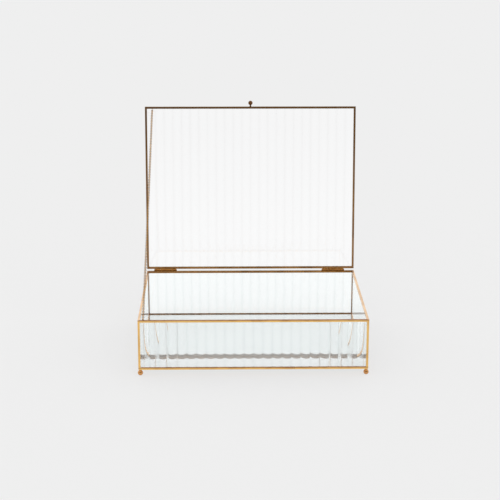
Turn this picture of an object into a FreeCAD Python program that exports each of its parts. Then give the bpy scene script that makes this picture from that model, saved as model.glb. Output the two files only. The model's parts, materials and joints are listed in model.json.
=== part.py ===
import FreeCAD, Part
import math
import os

import Sketcher
from FreeCAD import Placement, Rotation, Vector

# A jewelry box of reeded glass in a thin brass frame, on ball feet, with a mirror floor.
# The hinged lid stands open, held back by a brass chain. Millimetres, +Z up, front towards -Y.
# The origin is on the table, under the middle of the base.

driving = [
    ("box_width", 250.0, "outer width of the frame"),
    ("box_depth", 196.0, "outer depth of the frame"),
    ("base_height", 56.2, "base frame from its lowest to its highest face"),
    ("strip", 2.4, "side of the square brass strip"),
    ("groove_depth", 0.3, "depth of the glazing groove"),
    ("groove_wall", 0.3, "brass left outside the glazing groove"),
    ("glass_thickness", 1.3, "reeded glass at the crest of a rib"),
    ("glass_play", 0.1, "groove width beyond the glass"),
    ("glass_end_gap", 0.05, "glass edge to groove bottom"),
    ("rib_height", 0.85, "height of a rib above its valleys"),
    ("front_ribs", 24, "ribs across the front, the back and the lid"),
    ("side_ribs", 19, "ribs along each side"),
    ("ledge_thickness", 0.4, "lip that carries the mirror"),
    ("ledge_width", 1.5, "reach of that lip"),
    ("mirror_thickness", 1.1, "mirror floor"),
    ("mirror_play", 0.1, "mirror edge to rail"),
    ("foot_height", 6.6, "table to frame"),
    ("foot_inset", 2.0, "outer faces of the frame to the middle of a foot"),
    ("foot_ball", 5.8, "diameter of a ball foot"),
    ("foot_flat", 0.15, "height cut from the ball to stand on"),
    ("foot_neck", 3.2, "diameter of the neck above the ball"),
    ("lid_gap", 0.4, "air between the closed lid and the base"),
    ("lid_open_angle", 94.0, "lid opening in degrees, where the chain stops it"),
    ("left_hinge_inset", 9.5, "corner to the near end of the left hinge"),
    ("right_hinge_inset", 12.5, "corner to the near end of the right hinge"),
    ("hinge_barrel", 3.2, "outer diameter of a knuckle"),
    ("hinge_pin", 1.6, "diameter of the hinge pin"),
    ("pin_play", 0.05, "radial clearance of the turning knuckles"),
    ("base_knuckle", 12.0, "length of the fixed knuckle"),
    ("lid_knuckle", 6.5, "length of each turning knuckle"),
    ("knuckle_gap", 0.25, "air between knuckles"),
    ("leaf_thickness", 0.6, "hinge leaf"),
    ("leaf_height", 2.3, "reach of a leaf from the joint line"),
    ("pin_head", 2.6, "diameter of the head on each pin end"),
    ("pin_head_length", 0.6, "length of that head"),
    ("knob_stem", 1.7, "diameter of the knob's stem"),
    ("knob_stem_length", 1.7, "length of the knob's stem"),
    ("knob_collar", 2.2, "diameter of the collar on the rail"),
    ("knob_collar_length", 0.5, "length of the collar"),
    ("knob_ball", 5.2, "diameter of the knob's ball"),
    ("knob_shoulder", 5.0, "diameter where the point leaves the ball"),
    ("knob_tip", 1.0, "diameter at the point of the knob"),
    ("knob_length", 7.0, "rail face to the point of the knob"),
    ("chain_top_inset", 8.6, "outer side of the frame to the chain at the lid"),
    ("chain_bottom_inset", 5.6, "outer side of the frame to the chain at the base"),
    ("chain_wire", 0.6, "wire of a chain link"),
    ("link_side_play", 0.4, "air on each side of a link's wire inside the next link"),
    ("link_play", 0.1, "slack between two links"),
    ("chain_links", 159, "links in the chain, an odd count"),
    ("chain_sag", 4.0, "sag of the chain under the open lid"),
    ("eyelet_ring", 2.0, "diameter of an eyelet ring at the middle of its wire"),
    ("eyelet_wire", 0.7, "wire of an eyelet ring"),
    ("lid_eyelet_reach", 4.2, "rail face to the middle of the lid eyelet"),
    ("lid_tab_thickness", 0.45, "tab that carries the lid eyelet"),
    ("lid_tab_width", 0.5, "width of that tab"),
    ("lid_tab_play", 0.1, "lid glass to that tab"),
    ("base_eyelet_reach", 2.2, "rail face to the middle of the base eyelet"),
    ("base_eyelet_drop", 1.2, "rail top to the base eyelet's post"),
    ("base_eyelet_post", 0.85, "diameter of that post"),
]

doc = FreeCAD.newDocument("jewelry_box")
sheet = doc.addObject("Spreadsheet::Sheet", "dim")
for row, (alias, size, note) in enumerate(driving, 1):
    sheet.set(f"A{row}", alias)
    sheet.set(f"B{row}", str(size))
    sheet.setAlias(f"B{row}", alias)
    sheet.set(f"C{row}", note)
doc.recompute()

sub_parts = []

# Lengths worked out from the driving sizes, as expressions on the sheet
groove_width = "(dim.glass_thickness + dim.glass_play)"
glass_seat = "(dim.groove_wall + dim.glass_play / 2)"
glass_grip = "(dim.groove_depth - dim.glass_end_gap)"
glass_inset = f"(dim.strip - {glass_grip})"
lid_groove_wall = f"((dim.strip - {groove_width}) / 2)"
frame_top = "(dim.foot_height + dim.base_height)"
post_height = "(dim.base_height - 2 * dim.strip)"
hinge_y = "(dim.box_depth / 2 + dim.hinge_barrel / 2)"
hinge_z = f"({frame_top} + dim.lid_gap / 2)"
leaf_length = "(dim.base_knuckle + 2 * dim.lid_knuckle + 2 * dim.knuckle_gap)"


def value(text):
    return float(sheet.evalExpression(text))


def bind(item, **sizes):
    for name, text in sizes.items():
        item.setExpression(name, text)
    return item


def place(x="0", y="0", z="0", axis="0; 0; 1", angle="0"):
    return f"placement(vector({x}; {y}; {z}); rotation(vector({axis}); {angle}))"


def publish(item, label, *places):
    item.Label = label
    item.setExpression("Placement", " * ".join(places))
    sub_parts.append(item)
    return item


def primitive(kind, name, at=None, **sizes):
    item = bind(doc.addObject(f"Part::{kind}", name), **sizes)
    if at:
        item.setExpression("Placement", at)
    return item


def fuse(name, *items):
    item = doc.addObject("Part::MultiFuse", name)
    item.Shapes = list(items)
    return item


def cut(name, base, tool):
    item = doc.addObject("Part::Cut", name)
    item.Base = base
    item.Tool = tool
    return item


# Each side of the box has a frame of its own: X along the side, Y inwards, Z up from its lower face.
# The tuple holds the turn about Z, the corner that the side starts from, its length and its rib count.
sides = {
    "front": ("0", "-dim.box_width / 2", "-dim.box_depth / 2", "dim.box_width", "dim.front_ribs"),
    "right": ("90", "dim.box_width / 2", "-dim.box_depth / 2", "dim.box_depth", "dim.side_ribs"),
    "back": ("180", "dim.box_width / 2", "dim.box_depth / 2", "dim.box_width", "dim.front_ribs"),
    "left": ("270", "-dim.box_width / 2", "dim.box_depth / 2", "dim.box_depth", "dim.side_ribs"),
}
lid_pose = place(y=hinge_y, z=hinge_z, axis="1; 0; 0", angle="-dim.lid_open_angle")


def base_side(side, z):
    turn, x, y, _, _ = sides[side]
    return place(x, y, z, angle=turn)


def lid_side(side):
    turn, x, y, _, _ = sides[side]
    return f"{lid_pose} * {place(x, f'{y} - {hinge_y}', 'dim.lid_gap / 2', angle=turn)}"


def new_body(name):
    return doc.addObject("PartDesign::Body", name)


def plane(body, role):
    return next(item for item in body.Origin.OriginFeatures if item.Role == role)


def new_sketch(body, name, height=None, role="XY_Plane"):
    sketch = body.newObject("Sketcher::SketchObject", name)
    sketch.AttachmentSupport = [(plane(body, role), "")]
    sketch.MapMode = "FlatFace"
    if height:
        sketch.setExpression("AttachmentOffset.Base.z", height)
    return sketch


def pin_point(sketch, edge, end, x, y):
    # ties one end of an edge to a place in the sketch
    for text, kind, axis in ((x, "DistanceX", -2), (y, "DistanceY", -1)):
        if text == "0":
            sketch.addConstraint(Sketcher.Constraint("PointOnObject", edge, end, axis))
        else:
            index = sketch.addConstraint(Sketcher.Constraint(kind, -1, 1, edge, end, value(text)))
            sketch.setExpression(f"Constraints[{index}]", text)


def draw_polygon(sketch, corners):
    spots = [Vector(value(x), value(y), 0) for x, y in corners]
    count = len(corners)
    for i in range(count):
        sketch.addGeometry(Part.LineSegment(spots[i], spots[(i + 1) % count]), False)
    for i in range(count):
        sketch.addConstraint(Sketcher.Constraint("Coincident", i, 2, (i + 1) % count, 1))
    for i, (x, y) in enumerate(corners):
        pin_point(sketch, i, 1, x, y)


def draw_mitred(sketch, length, width):
    inner = f"{length} - {width}"
    draw_polygon(sketch, [("0", "0"), (length, "0"), (inner, width), (width, width)])


def draw_band(sketch, length, near, far):
    draw_polygon(sketch, [("0", near), (length, near), (length, far), ("0", far)])


def pad(body, name, sketch, length):
    feature = body.newObject("PartDesign::Pad", name)
    feature.Profile = sketch
    feature.setExpression("Length", length)
    return feature


def pocket(body, name, sketch, depth, upwards):
    feature = body.newObject("PartDesign::Pocket", name)
    feature.Profile = sketch
    feature.Reversed = upwards
    feature.setExpression("Length", depth)
    return feature


def make_rail(name, side, groove, ledge=False):
    # a mitred strip with a glazing groove in its upper, lower or inner face
    length = sides[side][3]
    body = new_body(name)
    outline = new_sketch(body, f"{name}_outline")
    draw_mitred(outline, length, "dim.strip")
    pad(body, f"{name}_strip", outline, "dim.strip")
    if ledge:
        lip = new_sketch(body, f"{name}_lip_outline")
        draw_mitred(lip, length, "(dim.strip + dim.ledge_width)")
        pad(body, f"{name}_lip", lip, "dim.ledge_thickness")
    doc.recompute()
    solid_before = body.Shape.Volume
    if groove == "inner":
        channel = new_sketch(body, f"{name}_channel", lid_groove_wall)
        draw_band(channel, length, "(dim.strip - dim.groove_depth)", "(dim.strip + dim.groove_depth)")
        pocket(body, f"{name}_groove", channel, groove_width, True)
    else:
        height = "(dim.strip - dim.groove_depth)" if groove == "upper" else None
        channel = new_sketch(body, f"{name}_channel", height)
        draw_band(channel, length, "dim.groove_wall", f"(dim.groove_wall + {groove_width})")
        pocket(body, f"{name}_groove", channel, "dim.groove_depth", True)
    doc.recompute()
    if body.Shape.Volume >= solid_before:
        raise ValueError(f"{name} has no groove")
    return body


def make_post(name):
    # a corner post, its outer corner at the origin, grooved on its two inner faces
    body = new_body(name)
    outline = new_sketch(body, f"{name}_outline")
    far = f"(dim.groove_wall + {groove_width})"
    floor = "(dim.strip - dim.groove_depth)"
    draw_polygon(outline, [
        ("0", "0"), ("dim.strip", "0"), ("dim.strip", "dim.groove_wall"), (floor, "dim.groove_wall"),
        (floor, far), ("dim.strip", far), ("dim.strip", "dim.strip"), (far, "dim.strip"),
        (far, floor), ("dim.groove_wall", floor), ("dim.groove_wall", "dim.strip"), ("0", "dim.strip"),
    ])
    pad(body, f"{name}_pad", outline, post_height)
    return body


def make_reeded_glass(name, width, height, ribs):
    # one rib column, its crest on the X axis, repeated across the pane
    pitch = f"({width} / {ribs})"
    radius = f"(({pitch} * {pitch} / 4 + dim.rib_height * dim.rib_height) / (2 * dim.rib_height))"
    body = new_body(name)
    sketch = new_sketch(body, f"{name}_rib_outline")
    corners = [
        (pitch, "dim.rib_height"), (pitch, "dim.glass_thickness"),
        ("0", "dim.glass_thickness"), ("0", "dim.rib_height"),
    ]
    spots = [Vector(value(x), value(y), 0) for x, y in corners]
    for start, end in zip(spots, spots[1:]):
        sketch.addGeometry(Part.LineSegment(start, end), False)
    crest = Vector(value(pitch) / 2, 0, 0)
    sketch.addGeometry(Part.Arc(spots[3], crest, spots[0]), False)
    for i in range(2):
        sketch.addConstraint(Sketcher.Constraint("Coincident", i, 2, i + 1, 1))
    sketch.addConstraint(Sketcher.Constraint("Coincident", 2, 2, 3, 1))
    sketch.addConstraint(Sketcher.Constraint("Coincident", 3, 2, 0, 1))
    for i in range(3):
        pin_point(sketch, i, 1, *corners[i])
    pin_point(sketch, 2, 2, *corners[3])
    index = sketch.addConstraint(Sketcher.Constraint("Radius", 3, value(radius)))
    sketch.setExpression(f"Constraints[{index}]", radius)
    column = pad(body, f"{name}_rib", sketch, height)
    doc.recompute()
    pattern = body.newObject("PartDesign::LinearPattern", f"{name}_ribs")
    pattern.Originals = [column]
    pattern.Direction = (sketch, ["H_Axis"])
    bind(pattern, Length=f"{width} - {pitch}", Occurrences=ribs)
    body.Tip = pattern
    return body


# Base frame: mitred rails below and above, and four posts between them
for side in sides:
    rail = make_rail(f"bottom_{side}_rail", side, "upper", ledge=True)
    publish(rail, f"bottom_{side}_rail", base_side(side, "dim.foot_height"))
    rail = make_rail(f"top_{side}_rail", side, "lower")
    publish(rail, f"top_{side}_rail", base_side(side, f"{frame_top} - dim.strip"))

post_corners = {"front": "front_left", "right": "front_right", "back": "back_right", "left": "back_left"}
for side, corner in post_corners.items():
    post = make_post(f"{corner}_post")
    publish(post, f"{corner}_post", base_side(side, "dim.foot_height + dim.strip"))

# Walls of reeded glass, ribs upright and outside, each held in the grooves around it
for side, (_, _, _, length, ribs) in sides.items():
    width = f"({length} - 2 * {glass_inset})"
    pane = make_reeded_glass(f"{side}_glass", width, f"({post_height} + 2 * {glass_grip})", ribs)
    corner = place(glass_inset, glass_seat, f"-{glass_grip}")
    publish(pane, f"{side}_glass", base_side(side, "dim.foot_height + dim.strip"), corner)

# Mirror floor on the lips of the bottom rails
mirror_inset = "(dim.strip + dim.mirror_play)"
mirror = primitive(
    "Box", "base_mirror",
    Length=f"dim.box_width - 2 * {mirror_inset}",
    Width=f"dim.box_depth - 2 * {mirror_inset}",
    Height="dim.mirror_thickness",
)
publish(mirror, "base_mirror", base_side("front", "dim.foot_height"),
        place(mirror_inset, mirror_inset, "dim.ledge_thickness"))

# Ball feet under the corners, flattened where they stand, each with a short neck
ball_radius = "(dim.foot_ball / 2)"
ball_middle = f"({ball_radius} - dim.foot_flat)"
for side, corner in post_corners.items():
    ball = primitive("Sphere", f"{corner}_ball", place(z=ball_middle), Radius=ball_radius,
                     Angle1=f"-asin({ball_middle} / {ball_radius})")
    neck = primitive("Cylinder", f"{corner}_neck", place(z=ball_middle), Radius="dim.foot_neck / 2",
                     Height=f"dim.foot_height - {ball_middle}")
    foot = fuse(f"{corner}_foot", ball, neck)
    publish(foot, f"{corner}_foot", base_side(side, "0"), place("dim.foot_inset", "dim.foot_inset"))

# Two barrel hinges on the back of the frame. Their own frame has the axis on X, from the left end.
barrel = "(dim.hinge_barrel / 2)"
cylinder_turn = {"axis": "0; 1; 0", "angle": "90"}
leaf_clear = f"({barrel} + dim.knuckle_gap)"
middle_start = "(dim.lid_knuckle + dim.knuckle_gap)"
second_start = f"({middle_start} + dim.base_knuckle + dim.knuckle_gap)"
hinge_starts = {
    "left": "dim.left_hinge_inset - dim.box_width / 2",
    "right": f"dim.box_width / 2 - dim.right_hinge_inset - {leaf_length}",
}


def knuckle(name, start, length):
    return primitive("Cylinder", name, place(start, **cylinder_turn), Radius=barrel, Height=length)


def bore(name, radius):
    return primitive("Cylinder", name, place(**cylinder_turn), Radius=radius, Height=leaf_length)


def leaf(name, start, length, low, high):
    return primitive("Box", name, place(start, f"-{barrel}", low), Length=length,
                     Width="dim.leaf_thickness", Height=f"{high} - ({low})")


for hand, start in hinge_starts.items():
    name = f"{hand}_hinge"
    joint_line = "(dim.lid_gap / 2)"
    low_edge = f"-({joint_line} + dim.leaf_height)"
    high_edge = f"({joint_line} + dim.leaf_height)"
    base_leaf = fuse(
        f"{name}_base_solid",
        leaf(f"{name}_base_strip", "0", leaf_length, low_edge, f"-{leaf_clear}"),
        leaf(f"{name}_base_neck", middle_start, "dim.base_knuckle", f"-{leaf_clear}", f"-{joint_line}"),
        knuckle(f"{name}_base_barrel", middle_start, "dim.base_knuckle"),
    )
    base_half = cut(f"{name}_base_leaf", base_leaf, bore(f"{name}_base_bore", "dim.hinge_pin / 2"))
    publish(base_half, f"{name}_base_leaf", place(start, hinge_y, hinge_z))

    lid_leaf = fuse(
        f"{name}_lid_solid",
        leaf(f"{name}_lid_strip", "0", leaf_length, leaf_clear, high_edge),
        leaf(f"{name}_lid_first_neck", "0", "dim.lid_knuckle", joint_line, leaf_clear),
        leaf(f"{name}_lid_second_neck", second_start, "dim.lid_knuckle", joint_line, leaf_clear),
        knuckle(f"{name}_lid_first_barrel", "0", "dim.lid_knuckle"),
        knuckle(f"{name}_lid_second_barrel", second_start, "dim.lid_knuckle"),
    )
    turning = bore(f"{name}_lid_bore", "dim.hinge_pin / 2 + dim.pin_play")
    lid_half = cut(f"{name}_lid_leaf", lid_leaf, turning)
    publish(lid_half, f"{name}_lid_leaf", lid_pose, place(start))

    head_gap = "dim.knuckle_gap"
    shank = primitive("Cylinder", f"{name}_shank", place(f"-{head_gap}", **cylinder_turn),
                      Radius="dim.hinge_pin / 2", Height=f"{leaf_length} + 2 * {head_gap}")
    left_head = primitive("Cylinder", f"{name}_left_head",
                          place(f"-{head_gap} - dim.pin_head_length", **cylinder_turn),
                          Radius="dim.pin_head / 2", Height="dim.pin_head_length")
    right_head = primitive("Cylinder", f"{name}_right_head",
                           place(f"{leaf_length} + {head_gap}", **cylinder_turn),
                           Radius="dim.pin_head / 2", Height="dim.pin_head_length")
    pin = fuse(f"{name}_pin", shank, left_head, right_head)
    publish(pin, f"{name}_pin", place(start, hinge_y, hinge_z))

# Lid: four mitred rails around one reeded pane, with its ribs from front to back
for side in sides:
    rail = make_rail(f"lid_{side}_rail", side, "inner")
    publish(rail, f"lid_{side}_rail", lid_side(side))
lid_pane = make_reeded_glass(
    "lid_glass",
    f"(dim.box_width - 2 * {glass_inset})",
    f"(dim.box_depth - 2 * {glass_inset})",
    "dim.front_ribs",
)
pane_top = f"(dim.strip - {lid_groove_wall} - dim.glass_play / 2)"
publish(lid_pane, "lid_glass", lid_side("front"),
        place(glass_inset, glass_inset, pane_top, axis="1; 0; 0", angle="-90"))

# Knob in the middle of the lid's front rail: a collar, a stem and a ball drawn out to a point
knob_middle = "(dim.knob_stem_length + dim.knob_ball / 2)"
knob = fuse(
    "lid_knob",
    primitive("Cylinder", "knob_collar", Radius="dim.knob_collar / 2", Height="dim.knob_collar_length"),
    primitive("Cylinder", "knob_stem", Radius="dim.knob_stem / 2", Height=knob_middle),
    primitive("Sphere", "knob_ball", place(z=knob_middle), Radius="dim.knob_ball / 2"),
    primitive("Cone", "knob_point", place(z=knob_middle), Radius1="dim.knob_shoulder / 2",
              Radius2="dim.knob_tip / 2", Height=f"dim.knob_length - {knob_middle}"),
)
publish(knob, "lid_knob", lid_side("front"),
        place("dim.box_width / 2", z="dim.strip / 2", axis="1; 0; 0", angle="90"))

# Eyelets that hold the chain: a ring under a tab on the lid's front rail, and a ring on a post in the base
ring_radius = "(dim.eyelet_ring / 2)"
ring_turn = {"axis": "0; 1; 0", "angle": "90"}
lid_tab_under = f"({lid_groove_wall} - dim.lid_tab_play - dim.lid_tab_thickness)"
lid_ring_z = f"({lid_tab_under} - {ring_radius})"
lid_eyelet = fuse(
    "lid_chain_eyelet",
    primitive("Torus", "lid_eyelet_ring", place(y="dim.lid_eyelet_reach", z=lid_ring_z, **ring_turn),
              Radius1=ring_radius, Radius2="dim.eyelet_wire / 2"),
    primitive("Box", "lid_eyelet_tab",
              place("-dim.lid_tab_width / 2", z=lid_tab_under),
              Length="dim.lid_tab_width", Width="dim.lid_eyelet_reach + dim.eyelet_wire / 2",
              Height="dim.lid_tab_thickness"),
)
publish(lid_eyelet, "lid_chain_eyelet", lid_side("front"), place("dim.chain_top_inset", "dim.strip"))

base_eyelet = fuse(
    "base_chain_eyelet",
    primitive("Torus", "base_eyelet_ring",
              place(y="dim.base_eyelet_reach", z=f"-{ring_radius}", **ring_turn),
              Radius1=ring_radius, Radius2="dim.eyelet_wire / 2"),
    primitive("Cylinder", "base_eyelet_post", place(axis="1; 0; 0", angle="-90"),
              Radius="dim.base_eyelet_post / 2", Height="dim.base_eyelet_reach"),
)
publish(base_eyelet, "base_chain_eyelet", base_side("front", frame_top),
        place("dim.chain_bottom_inset", "dim.strip", "-dim.base_eyelet_drop"))

# Chain from the middle of one eyelet to the middle of the other, along one shallow arc.
# Each link is a quarter turn from the one before it, and the first and last lie across their rings.
open_angle = math.radians(value("dim.lid_open_angle"))
lid_eye_y = value(f"dim.strip + dim.lid_eyelet_reach - dim.box_depth / 2 - {hinge_y}")
lid_eye_z = value(f"dim.lid_gap / 2 + {lid_ring_z}")
upper_end = Vector(
    value("dim.chain_top_inset - dim.box_width / 2"),
    value(hinge_y) + lid_eye_y * math.cos(open_angle) + lid_eye_z * math.sin(open_angle),
    value(hinge_z) - lid_eye_y * math.sin(open_angle) + lid_eye_z * math.cos(open_angle),
)
lower_end = Vector(
    value("dim.chain_bottom_inset - dim.box_width / 2"),
    value("dim.strip + dim.base_eyelet_reach - dim.box_depth / 2"),
    value(f"{frame_top} - dim.base_eyelet_drop - {ring_radius}"),
)
span = lower_end - upper_end
sag = value("dim.chain_sag")
arc_radius = (span.Length ** 2 / 4 + sag ** 2) / (2 * sag)
half_turn = math.asin(span.Length / 2 / arc_radius)
links = int(value("dim.chain_links"))
link_pitch = (2 * arc_radius * half_turn - value("dim.chain_wire + dim.link_play")) / links
wire_radius = value("dim.chain_wire / 2")
link_half_width = value("dim.chain_wire + dim.link_side_play")
link_half_length = (link_pitch + value("dim.chain_wire + dim.link_play")) / 2


def make_link():
    # one closed link in the XY plane, its length along X
    straight = link_half_length - link_half_width
    corners = [Vector(i * straight, j * link_half_width, 0) for i, j in ((-1, 1), (1, 1), (1, -1), (-1, -1))]
    path = Part.Wire([
        Part.makeLine(corners[0], corners[1]),
        Part.Arc(corners[1], Vector(link_half_length, 0, 0), corners[2]).toShape(),
        Part.makeLine(corners[2], corners[3]),
        Part.Arc(corners[3], Vector(-link_half_length, 0, 0), corners[0]).toShape(),
    ])
    profile = Part.Wire(Part.makeCircle(wire_radius, corners[0], Vector(1, 0, 0)))
    return path.makePipeShell([profile], True, False)


# The arc hangs in the plane of the straight line between its ends and the way that it sags
ahead = Vector(span).normalize()
across = (Vector(1, 0, 0) - ahead * ahead.x).normalize()
downward = across.cross(ahead)
flat_link = make_link()
upright_link = flat_link.copy()
upright_link.rotate(Vector(), Vector(1, 0, 0), 90)
chain_solids = []
for i in range(links):
    heading = (link_half_length + i * link_pitch) / arc_radius - half_turn
    way = ahead * math.cos(heading) - downward * math.sin(heading)
    gone = ahead * (math.sin(heading) + math.sin(half_turn))
    sunk = downward * (math.cos(heading) - math.cos(half_turn))
    turn = Rotation(way, across, way.cross(across), "XYZ")
    solid = (upright_link if i % 2 else flat_link).copy()
    solid.Placement = Placement(upper_end + (gone + sunk) * arc_radius, turn).multiply(solid.Placement)
    chain_solids.append(solid)
chain = doc.addObject("Part::Feature", "stay_chain")
chain.Label = chain.Name
chain.Shape = Part.makeCompound(chain_solids)
sub_parts.append(chain)
print(f"chain of {links} links, {link_pitch:.3f} mm apart")

doc.recompute()
for item in doc.Objects:
    if "Invalid" in item.State or "Error" in item.State:
        raise ValueError(f"{item.Name} failed: {item.State}")
for item in sub_parts:
    if item.Shape.isNull() or not item.Shape.isValid():
        raise ValueError(f"{item.Label} has no valid shape")
os.makedirs("parts", exist_ok=True)
for item in sub_parts:
    item.Shape.exportStep(f"parts/{item.Label}.step")
print(f"{len(sub_parts)} sub-parts written")
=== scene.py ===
import json
import math

import bmesh
import bpy
from mathutils import Matrix, Vector
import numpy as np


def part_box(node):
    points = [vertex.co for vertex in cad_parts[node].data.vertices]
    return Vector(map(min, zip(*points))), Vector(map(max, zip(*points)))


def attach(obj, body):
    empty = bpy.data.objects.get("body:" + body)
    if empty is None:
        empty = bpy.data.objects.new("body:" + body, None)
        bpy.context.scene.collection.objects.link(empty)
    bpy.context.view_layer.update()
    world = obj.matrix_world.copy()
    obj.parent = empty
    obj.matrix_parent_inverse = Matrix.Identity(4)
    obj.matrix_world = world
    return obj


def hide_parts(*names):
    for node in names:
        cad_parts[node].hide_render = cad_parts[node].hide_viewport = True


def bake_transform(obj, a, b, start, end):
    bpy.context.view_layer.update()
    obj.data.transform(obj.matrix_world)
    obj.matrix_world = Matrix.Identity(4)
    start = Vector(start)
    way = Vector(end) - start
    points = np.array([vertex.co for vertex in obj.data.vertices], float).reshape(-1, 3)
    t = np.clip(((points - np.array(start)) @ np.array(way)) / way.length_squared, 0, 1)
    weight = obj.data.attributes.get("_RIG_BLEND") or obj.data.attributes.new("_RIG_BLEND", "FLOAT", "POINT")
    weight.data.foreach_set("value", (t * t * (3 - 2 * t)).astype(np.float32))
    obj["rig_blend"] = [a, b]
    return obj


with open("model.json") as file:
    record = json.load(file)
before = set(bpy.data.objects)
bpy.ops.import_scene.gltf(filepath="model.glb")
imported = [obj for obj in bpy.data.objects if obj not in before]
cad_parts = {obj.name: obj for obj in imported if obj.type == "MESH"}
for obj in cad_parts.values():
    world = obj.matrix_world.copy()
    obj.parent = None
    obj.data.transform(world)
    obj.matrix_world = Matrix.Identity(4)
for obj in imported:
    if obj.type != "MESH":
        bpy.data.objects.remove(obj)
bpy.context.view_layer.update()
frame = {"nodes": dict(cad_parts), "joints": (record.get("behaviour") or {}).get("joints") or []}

nodes = frame["nodes"]
print("frame loaded:", len(nodes), "nodes")


# Shader maths: a wrapped socket that takes + - * / ** with numbers and other sockets
class Wire:
    def __init__(self, book, socket):
        self.book = book
        self.socket = socket

    def maths(self, operation, first, second):
        return self.book.add("ShaderNodeMath", {"operation": operation}, {0: first, 1: second})

    def __add__(self, other):
        return self.maths("ADD", self, other)

    def __radd__(self, other):
        return self.maths("ADD", other, self)

    def __sub__(self, other):
        return self.maths("SUBTRACT", self, other)

    def __rsub__(self, other):
        return self.maths("SUBTRACT", other, self)

    def __mul__(self, other):
        return self.maths("MULTIPLY", self, other)

    def __rmul__(self, other):
        return self.maths("MULTIPLY", other, self)

    def __truediv__(self, other):
        return self.maths("DIVIDE", self, other)

    def __pow__(self, other):
        return self.maths("POWER", self, other)

    def clamped(self):
        return self.book.add("ShaderNodeClamp", {}, {"Value": self})


class Book:
    def __init__(self, tree):
        self.tree = tree
        tree.nodes.clear()

    def add(self, kind, settings, sockets, output=0):
        node = self.tree.nodes.new(kind)
        for name, setting in settings.items():
            setattr(node, name, setting)
        for name, source in sockets.items():
            if isinstance(source, Wire):
                self.tree.links.new(source.socket, node.inputs[name])
            else:
                node.inputs[name].default_value = source
        return Wire(self, node.outputs[output])

    def objectCoords(self):
        return self.add("ShaderNodeTexCoord", {}, {}, "Object")

    def noise(self, scale, detail, stretch=(1, 1, 1)):
        place = self.add("ShaderNodeMapping", {}, {"Vector": self.objectCoords(), "Scale": stretch})
        return self.add("ShaderNodeTexNoise", {}, {"Vector": place, "Scale": scale, "Detail": detail})

    def mixColour(self, factor, first, second):
        settings = {"data_type": "RGBA"}
        return self.add("ShaderNodeMix", settings, {"Factor": factor, 6: first, 7: second}, 2)

    def bump(self, height, strength, distance):
        sockets = {"Height": height, "Strength": strength, "Distance": distance}
        return self.add("ShaderNodeBump", {}, sockets)

    def output(self, surface, kind="ShaderNodeOutputMaterial"):
        node = self.tree.nodes.new(kind)
        self.tree.links.new(surface.socket, node.inputs["Surface"])


def newMaterial(name):
    material = bpy.data.materials.new(name)
    material.use_nodes = True
    return material, Book(material.node_tree)


def giveMaterial(obj, material):
    obj.data.materials.clear()
    obj.data.materials.append(material)


bandSoft = 0.0001
bandShare = 0.42


# Brass: polished strip with fine grain and cloudy tarnish, with painted shade on upward faces, in bands
# along the front rails and on alternate chain links
def brassMaterial(name, look):
    material, book = newMaterial(name)
    tarnish = book.noise(look["tarnishScale"], detail=4.0)
    patchRange = {"From Min": look["patchStart"], "From Max": look["patchFull"]}
    patches = book.add("ShaderNodeMapRange", {}, {"Value": tarnish, **patchRange})
    facing = book.add("ShaderNodeTexCoord", {}, {}, "Normal")
    # painted shade: faces that look upward are darkened
    upward = book.add("ShaderNodeSeparateXYZ", {}, {"Vector": facing}, "Z").clamped()
    darkened = patches * look["tarnish"] + upward * look["upwardShade"]
    # painted shade: darker bands along the upper part of the front rails
    for low, high in look.get("bands", ()):
        height = book.add("ShaderNodeSeparateXYZ", {}, {"Vector": book.objectCoords()}, "Z")
        inBand = ((height - low) / bandSoft).clamped() * ((high - height) / bandSoft).clamped()
        darkened = darkened + inBand * look["bandShade"]
    # painted shade on the chain: alternate links and their touching ends are darkened
    if "linkShadeStrength" in look:
        linkShading = book.add("ShaderNodeAttribute", {"attribute_name": "linkShadeMask"}, {}, "Fac")
        darkened = darkened + linkShading * look["linkShadeStrength"]
    darkened = darkened.clamped()
    colour = book.mixColour(darkened, (*look["colour"], 1), (*look["dark"], 1))
    grain = book.noise(look["grainScale"], detail=2.0)
    uneven = look["patchRough"] * (patches - 0.5) + look["grainRough"] * (grain - 0.5)
    rough = (look["roughness"] + uneven).clamped()
    normal = book.bump(grain, look["grain"], look["grainDepth"])
    surface = book.add("ShaderNodeBsdfPrincipled", {}, {
        "Base Color": colour, "Metallic": 1.0, "Roughness": rough, "Normal": normal})
    book.output(surface)
    return material


def upperShadeBand(nodeName):
    # painted shade: a darker line along the upper part of a rail, where the glass meets it
    low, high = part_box(nodeName)
    return high.z - bandShare * (high.z - low.z), high.z + bandSoft


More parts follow.
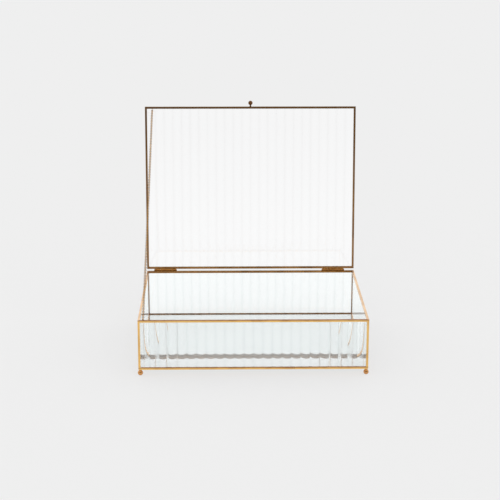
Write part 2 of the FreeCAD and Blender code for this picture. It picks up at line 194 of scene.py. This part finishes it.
frontShadeBands = (upperShadeBand("top_front_rail"), upperShadeBand("bottom_front_rail"))
fineGrain = {"tarnish": 0.6, "grainScale": 1400, "grain": 0.25, "upwardShade": 0.1, "patchStart": 0.42,
             "patchFull": 0.72, "patchRough": 0.10, "grainRough": 0.05, "grainDepth": 0.00004}
brassLooks = {
    "frontBrass": {
        **fineGrain, "colour": (0.91, 0.57, 0.20), "dark": (0.32, 0.13, 0.055), "roughness": 0.24,
        "tarnish": 0.3, "tarnishScale": 55, "upwardShade": 0.7, "bands": frontShadeBands, "bandShade": 0.6},
    "sideBrass": {
        **fineGrain, "colour": (0.90, 0.61, 0.36), "dark": (0.50, 0.27, 0.12), "roughness": 0.26,
        "tarnish": 0.4, "tarnishScale": 55, "upwardShade": 0.0},
    # the back and lid brass are shaded copies of the same brass: painted darker for the shade on the back
    # frame and on the raised lid
    "backBrass": {
        **fineGrain, "colour": (0.33, 0.16, 0.05), "dark": (0.15, 0.07, 0.022), "roughness": 0.30,
        "tarnishScale": 50, "upwardShade": 0.3},
    "shadedLidBrass": {
        **fineGrain, "colour": (0.35, 0.19, 0.08), "dark": (0.17, 0.085, 0.033), "roughness": 0.30,
        "tarnishScale": 45},
    "hingeBrass": {
        **fineGrain, "colour": (0.46, 0.21, 0.055), "dark": (0.20, 0.08, 0.02), "roughness": 0.26,
        "tarnishScale": 140, "grainScale": 2000, "grain": 0.15},
    "knobBrass": {
        **fineGrain, "colour": (0.17, 0.075, 0.028), "dark": (0.07, 0.03, 0.012), "roughness": 0.22,
        "tarnish": 0.5, "tarnishScale": 220, "grainScale": 2200, "grain": 0.12, "upwardShade": 0.0},
    "chainBrass": {
        **fineGrain, "colour": (0.90, 0.51, 0.16), "dark": (0.04, 0.014, 0.003), "roughness": 0.22,
        "tarnish": 0.2, "tarnishScale": 260, "grainScale": 2600, "grain": 0.15, "upwardShade": 0.0,
        "linkShadeStrength": 1.0},
    "footBrass": {
        **fineGrain, "colour": (0.70, 0.36, 0.13), "dark": (0.34, 0.14, 0.05), "roughness": 0.20,
        "tarnishScale": 150, "grainScale": 2200, "grain": 0.12, "upwardShade": 0.2},
}
brass = {name: brassMaterial(name, look) for name, look in brassLooks.items()}


# Clear glass with a faint tint, a trace of dust, and uneven shade along the valleys between ribs
def glassMaterial(name, look):
    material, book = newMaterial(name)
    dust = book.noise(look["dustScale"], detail=5.0)
    rough = (look["roughness"] + look["dust"] * (dust - look["dustStart"])).clamped()
    crest = book.add("ShaderNodeAttribute", {"attribute_name": "ribCrest"}, {}, "Fac")
    streaks = book.noise(look["streakScale"], detail=2.0, stretch=look["streakStretch"])
    uneven = look["streakLeast"] + look["streakGain"] * streaks
    shade = ((1 - crest) ** look["valleySharpness"] * uneven).clamped()
    colour = book.mixColour(shade, (*look["colour"], 1), (*look["valley"], 1))
    waves = book.noise(look["waveScale"], detail=1.0)
    normal = book.bump(waves, look["waves"], look["waveDepth"])
    surface = book.add("ShaderNodeBsdfPrincipled", {}, {
        "Base Color": colour, "Roughness": rough, "IOR": look["ior"],
        "Transmission Weight": 1.0, "Normal": normal})
    book.output(surface)
    return material


glassLook = {"valleySharpness": 1.5, "ior": 1.55, "roughness": 0.0, "dust": 0.03, "dustScale": 35,
             "dustStart": 0.45, "streakScale": 70, "streakStretch": (1, 1, 0.04), "streakLeast": 0.3,
             "streakGain": 1.4, "waveScale": 60, "waves": 0.06, "waveDepth": 0.0002}
wallGlass = glassMaterial("wallGlass", {
    **glassLook, "colour": (0.988, 1.0, 1.0), "valley": (0.93, 0.954, 0.954)})
lidGlass = glassMaterial("lidGlass", {
    **glassLook, "colour": (0.974, 0.961, 0.963), "valley": (0.94, 0.927, 0.928)})


# Mirror: silver behind clear glass, slightly clouded
def mirrorMaterial(name, look):
    material, book = newMaterial(name)
    cloud = book.noise(look["cloudScale"], detail=4.0)
    clouded = (cloud - look["cloudStart"]).clamped() * look["cloud"]
    colour = book.mixColour(clouded, (*look["colour"], 1), (*look["shade"], 1))
    rough = (look["roughness"] + look["cloudRough"] * (cloud - 0.5)).clamped()
    surface = book.add("ShaderNodeBsdfPrincipled", {}, {
        "Base Color": colour, "Metallic": look["silver"], "Roughness": rough,
        "Coat Weight": look["coat"], "Coat Roughness": look["coatRoughness"]})
    book.output(surface)
    return material


mirrorSilver = mirrorMaterial("mirrorSilver", {
    "colour": (0.93, 0.95, 0.95), "shade": (0.84, 0.87, 0.87), "cloudScale": 18, "cloud": 0.5,
    "cloudStart": 0.35, "cloudRough": 0.02, "roughness": 0.02, "silver": 0.55,
    "coat": 0.3, "coatRoughness": 0.02})
print("materials made")

# CAD nodes take their finish here
for nodeName, obj in nodes.items():
    if nodeName == "stay_chain" or nodeName.endswith("eyelet"):
        giveMaterial(obj, brass["chainBrass"])
    elif "hinge" in nodeName:
        giveMaterial(obj, brass["hingeBrass"])
    elif "back" in nodeName and ("rail" in nodeName or "post" in nodeName):
        giveMaterial(obj, brass["backBrass"])
    elif nodeName.endswith("_glass"):
        giveMaterial(obj, lidGlass if nodeName == "lid_glass" else wallGlass)
    elif nodeName == "lid_knob":
        giveMaterial(obj, brass["knobBrass"])
    elif nodeName.startswith("lid_"):
        giveMaterial(obj, brass["shadedLidBrass"])
    elif nodeName.endswith("_foot"):
        giveMaterial(obj, brass["footBrass"])
    elif nodeName == "base_mirror":
        giveMaterial(obj, mirrorSilver)
    elif "front" in nodeName:
        giveMaterial(obj, brass["frontBrass"])
    else:
        giveMaterial(obj, brass["sideBrass"])


# Reeded panes: smooth round ribs on one face, flat on the other
reeds = {"frontRibs": 24, "sideRibs": 19, "ribSteps": 20, "ribHeight": 0.00085, "thickness": 0.0013,
         "inset": 0.00215, "lidSeat": 0.00055, "lidGap": 0.0002, "creaseDegrees": 12}
lidJoint = next(joint for joint in frame["joints"] if joint["name"] == "lid_hinge")
openTurn = -math.radians(lidJoint["range_deg"][1])


def finishPiece(bm, name, material, body, *replaced):
    bmesh.ops.recalc_face_normals(bm, faces=bm.faces[:])
    mesh = bpy.data.meshes.new(name)
    bm.to_mesh(mesh)
    bm.free()
    obj = bpy.data.objects.new(name, mesh)
    bpy.context.scene.collection.objects.link(obj)
    giveMaterial(obj, material)
    if body:
        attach(obj, body)
    if replaced:
        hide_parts(*replaced)
    return obj


def ribRise(along, pitch):
    # height of a round rib above its valleys, at a distance along the pane
    radius = (pitch * pitch / 4 + reeds["ribHeight"] ** 2) / (2 * reeds["ribHeight"])
    off = (along % pitch) - pitch / 2
    return math.sqrt(radius * radius - off * off) - radius + reeds["ribHeight"]


def reededPane(width, height, ribs):
    # lies in the XY plane from the origin, ribs along Y, flat face down
    bm = bmesh.new()
    crest = bm.verts.layers.float.new("ribCrest")
    steps = ribs * reeds["ribSteps"]
    bmesh.ops.create_grid(bm, x_segments=steps, y_segments=1, size=0.5)
    bmesh.ops.translate(bm, verts=bm.verts[:], vec=(0.5, 0.5, 0))
    bmesh.ops.scale(bm, verts=bm.verts[:], vec=(width, height, 1))
    grown = bmesh.ops.extrude_face_region(bm, geom=bm.faces[:])
    top = [item for item in grown["geom"] if isinstance(item, bmesh.types.BMVert)]
    valley = reeds["thickness"] - reeds["ribHeight"]
    pitch = width / ribs
    for vert in bm.verts:
        step = round(vert.co.x / width * steps)
        rise = ribRise((step % reeds["ribSteps"]) * pitch / reeds["ribSteps"], pitch)
        vert[crest] = rise / reeds["ribHeight"]
    for vert in top:
        vert.co.z = valley + vert[crest] * reeds["ribHeight"]
    for face in bm.faces:
        face.smooth = True
    bm.normal_update()
    crease = math.radians(reeds["creaseDegrees"])
    for edge in bm.edges:
        if len(edge.link_faces) == 2 and edge.calc_face_angle() > crease:
            edge.smooth = False
    return bm


def wallMatrix(nodeName, side):
    # stands a pane up in its node's box, ribs outside
    low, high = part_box(nodeName)
    outward = {"front": Vector((0, -1, 0)), "back": Vector((0, 1, 0)),
               "left": Vector((-1, 0, 0)), "right": Vector((1, 0, 0))}[side]
    up = Vector((0, 0, 1))
    along = up.cross(outward)
    flat = [low[i] if along[i] + outward[i] > 0.5 else high[i] for i in range(2)]
    corner = Vector((*flat, low.z))
    return Matrix.Translation(corner) @ Matrix((along, up, outward)).transposed().to_4x4()


for side in ("front", "back", "left", "right"):
    nodeName = side + "_glass"
    low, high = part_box(nodeName)
    wide = max(high.x - low.x, high.y - low.y)
    ribs = reeds["frontRibs"] if side in ("front", "back") else reeds["sideRibs"]
    bm = reededPane(wide, high.z - low.z, ribs)
    bmesh.ops.transform(bm, matrix=wallMatrix(nodeName, side), verts=bm.verts[:])
    finishPiece(bm, side + "Pane", wallGlass, "base", nodeName)
print("walls glazed")

# the lid's pane is laid as on the closed lid and turned open with it
hinge = Vector(lidJoint["pos_m"])
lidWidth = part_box("lid_glass")[1].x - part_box("lid_glass")[0].x
baseLow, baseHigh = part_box("top_left_rail")
lidDepth = (baseHigh.y - baseLow.y) - 2 * reeds["inset"]
bm = reededPane(lidWidth, lidDepth, reeds["frontRibs"])
paneUnder = hinge.z + reeds["lidGap"] + reeds["lidSeat"]
closedCorner = Vector((-lidWidth / 2, baseLow.y + reeds["inset"], paneUnder))
opened = Matrix.Translation(hinge) @ Matrix.Rotation(openTurn, 4, "X") @ Matrix.Translation(-hinge)
bmesh.ops.transform(bm, matrix=opened @ Matrix.Translation(closedCorner), verts=bm.verts[:])
finishPiece(bm, "lidPane", lidGlass, "lid", "lid_glass")
print("lid glazed")

# Chain: nearly round links, each a quarter turn from the one before, on a shallow arc between the rings
chainLook = {"links": 159, "wire": 0.0006, "sidePlay": 0.0004, "play": 0.0001, "sag": 0.004,
             "ringSteps": 20, "wireSteps": 10, "ringRadius": 0.001, "ringWire": 0.0007,
             "bendStart": -0.03, "bendEnd": 0.89}


def eyeletMiddle(nodeName, along, outward):
    # the ring's middle, from the ends of its eyelet's box that the ring reaches
    low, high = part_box(nodeName)
    reach = chainLook["ringRadius"] + chainLook["ringWire"] / 2
    middle = (low + high) / 2
    middle.y = high.y - reach if along > 0 else low.y + reach
    middle.z = high.z - reach if outward > 0 else low.z + reach
    return middle


def ovalLink(halfLength):
    bm = bmesh.new()
    bm.verts.layers.float.new("linkShadeMask")
    halfWidth = chainLook["wire"] + chainLook["sidePlay"]
    bmesh.ops.create_circle(bm, segments=chainLook["wireSteps"], radius=chainLook["wire"] / 2)
    stand = Matrix.Translation((0, halfWidth, 0)) @ Matrix.Rotation(math.pi / 2, 4, "Y")
    bmesh.ops.transform(bm, matrix=stand, verts=bm.verts[:])
    bmesh.ops.spin(bm, geom=bm.edges[:], cent=(0, 0, 0), axis=(0, 0, 1), angle=2 * math.pi,
                   steps=chainLook["ringSteps"], use_merge=True)
    for vert in bm.verts:
        if abs(vert.co.x) > chainLook["wire"] / 1000:
            vert.co.x += math.copysign(halfLength - halfWidth, vert.co.x)
    return bm


upperEnd = eyeletMiddle("lid_chain_eyelet", -1, 1)
lowerEnd = eyeletMiddle("base_chain_eyelet", 1, -1)
span = lowerEnd - upperEnd
ahead = span.normalized()
across = (Vector((1, 0, 0)) - ahead * ahead.x).normalized()
downward = across.cross(ahead)
arcRadius = (span.length ** 2 / 4 + chainLook["sag"] ** 2) / (2 * chainLook["sag"])
halfTurn = math.asin(span.length / 2 / arcRadius)
slack = chainLook["wire"] + chainLook["play"]
linkPitch = (2 * arcRadius * halfTurn - slack) / chainLook["links"]
linkHalf = (linkPitch + slack) / 2
linkMesh = bpy.data.meshes.new("oneLink")
linkForm = ovalLink(linkHalf)
linkForm.to_mesh(linkMesh)
linkForm.free()
bm = bmesh.new()
for i in range(chainLook["links"]):
    heading = (linkHalf + i * linkPitch) / arcRadius - halfTurn
    way = ahead * math.cos(heading) - downward * math.sin(heading)
    gone = ahead * (math.sin(heading) + math.sin(halfTurn))
    sunk = downward * (math.cos(heading) - math.cos(halfTurn))
    turned = Matrix((way, across, way.cross(across))).transposed().to_4x4()
    quarter = Matrix.Rotation(math.pi / 2 * (i % 2), 4, "X")
    before = len(bm.verts)
    bm.from_mesh(linkMesh)
    bm.verts.ensure_lookup_table()
    # painted shade: every other link is darker, and so are the ends that touch it
    linkShading = bm.verts.layers.float["linkShadeMask"]
    for vert in bm.verts[before:]:
        vert[linkShading] = 0.5 + 0.5 * math.cos(math.pi * (vert.co.x / linkPitch + i))
    place = Matrix.Translation(upperEnd + (gone + sunk) * arcRadius) @ turned @ quarter
    bmesh.ops.transform(bm, matrix=place, verts=bm.verts[before:])
for face in bm.faces:
    face.smooth = True
bpy.data.meshes.remove(linkMesh)
# it folds into the box as the lid comes down, its lower end fast to the base
chain = finishPiece(bm, "stayChain", brass["chainBrass"], None, "stay_chain")
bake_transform(chain, "base", "lid", start=lowerEnd - span * chainLook["bendStart"],
         end=lowerEnd - span * chainLook["bendEnd"])
print("chain hung:", chainLook["links"], "links")

# Stage: a pale floor that keeps the shadow, plain soft light from all round, and a dark card in front that
# shows only in reflections, a painted reflection of darker surroundings
stageLook = {"lightDepth": 40, "floorSize": 30.0, "backdrop": (0.863, 0.863, 0.863), "glow": 0.72,
             "worldStrength": 1.0, "throughGlass": (0.985, 1.0, 1.0), "cardSize": (3.0, 0.5),
             "cardY": -0.75, "cardLift": 0.002,
             "cardDark": (0.16, 0.15, 0.14), "cardPale": (0.95, 0.95, 0.94), "cardFade": 0.2}


def stagePlane(name, matrix, material):
    bm = bmesh.new()
    bmesh.ops.create_grid(bm, x_segments=1, y_segments=1, size=0.5)
    bmesh.ops.transform(bm, matrix=matrix, verts=bm.verts[:])
    plane = finishPiece(bm, name, material, None)
    return plane


def floorMaterial():
    material, book = newMaterial("paleFloor")
    # painted light: the floor seen through glass is brighter than seen directly, so the glass looks whiter
    path = book.add("ShaderNodeLightPath", {}, {}, "Is Transmission Ray")
    colour = book.mixColour(path, (*stageLook["backdrop"], 1), (*stageLook["throughGlass"], 1))
    lit = book.add("ShaderNodeBsdfDiffuse", {}, {"Color": colour})
    glow = book.add("ShaderNodeEmission", {}, {"Color": colour, "Strength": 1.0})
    book.output(book.add("ShaderNodeMixShader", {}, {"Fac": stageLook["glow"], 1: lit, 2: glow}))
    return material


def cardMaterial():
    # painted reflection: glows darker upwards, pale near the floor
    material, book = newMaterial("reflectionCard")
    height = book.add("ShaderNodeSeparateXYZ", {}, {"Vector": book.objectCoords()}, "Z")
    rise = (height / stageLook["cardFade"]).clamped()
    shade = book.mixColour(rise, (*stageLook["cardPale"], 1), (*stageLook["cardDark"], 1))
    book.output(book.add("ShaderNodeEmission", {}, {"Color": shade, "Strength": 1.0}))
    return material


def makeWorld():
    world = bpy.data.worlds.new("softStudio")
    bpy.context.scene.world = world
    world.use_nodes = True
    book = Book(world.node_tree)
    seen = book.add("ShaderNodeLightPath", {}, {}, "Is Camera Ray")
    # painted light: the world seen through glass is brighter than the backdrop seen directly, so the glass
    # looks whiter
    through = book.add("ShaderNodeLightPath", {}, {}, "Is Transmission Ray")
    around = book.mixColour(seen, (1.0, 1.0, 1.0, 1), (*stageLook["backdrop"], 1))
    around = book.mixColour(through, around, (*stageLook["throughGlass"], 1))
    sky = book.add("ShaderNodeBackground", {}, {"Color": around, "Strength": stageLook["worldStrength"]})
    book.output(sky, "ShaderNodeOutputWorld")


makeWorld()
floorSide = stageLook["floorSize"]
stagePlane("floor", Matrix.Diagonal((floorSide, floorSide, 1, 1)), floorMaterial())
cardWidth, cardTall = stageLook["cardSize"]
cardPlace = Matrix.Translation((0, stageLook["cardY"], cardTall / 2 + stageLook["cardLift"]))
cardTurn = Matrix.Rotation(math.pi / 2, 4, "X") @ Matrix.Diagonal((cardWidth, cardTall, 1, 1))
card = stagePlane("reflectionCard", cardPlace @ cardTurn, cardMaterial())
# the card shows only in glossy reflections, as a painted reflection
card.visible_camera = False
card.visible_diffuse = False
card.visible_transmission = False
card.visible_shadow = False
print("stage set")

# Camera: a long lens, a little above, nearly square to the front
shot = {"frameWidth": 0.2476, "base": 0.0078, "yaw": 0.9365, "pitch": 15.05, "roll": 0.0505,
        "side": -0.009, "away": 6.330, "height": 2.134, "focalPixels": 1430.5, "imagePixels": 500,
        "sensorWidth": 36.0}
camera = bpy.data.cameras.new("camera")
camera.sensor_width = shot["sensorWidth"]
camera.lens = shot["focalPixels"] / shot["imagePixels"] * camera.sensor_width
cameraObject = bpy.data.objects.new("camera", camera)
bpy.context.scene.collection.objects.link(cameraObject)
stand = Vector((shot["side"], -shot["away"], shot["height"])) * shot["frameWidth"]
stand.z += shot["base"]
swing = Matrix.Rotation(math.radians(-shot["yaw"]), 4, "Z")
tilt = Matrix.Rotation(math.radians(90 - shot["pitch"]), 4, "X")
roll = Matrix.Rotation(math.radians(shot["roll"]), 4, "Z")
cameraObject.matrix_world = swing @ Matrix.Translation(stand) @ tilt @ roll
bpy.context.scene.camera = cameraObject
bpy.context.scene.view_settings.view_transform = "Standard"
# light that runs along inside the ribs gets out again
lightPaths = bpy.context.scene.cycles
lightPaths.max_bounces = stageLook["lightDepth"]
lightPaths.transmission_bounces = stageLook["lightDepth"]
lightPaths.glossy_bounces = stageLook["lightDepth"]
print("camera set")
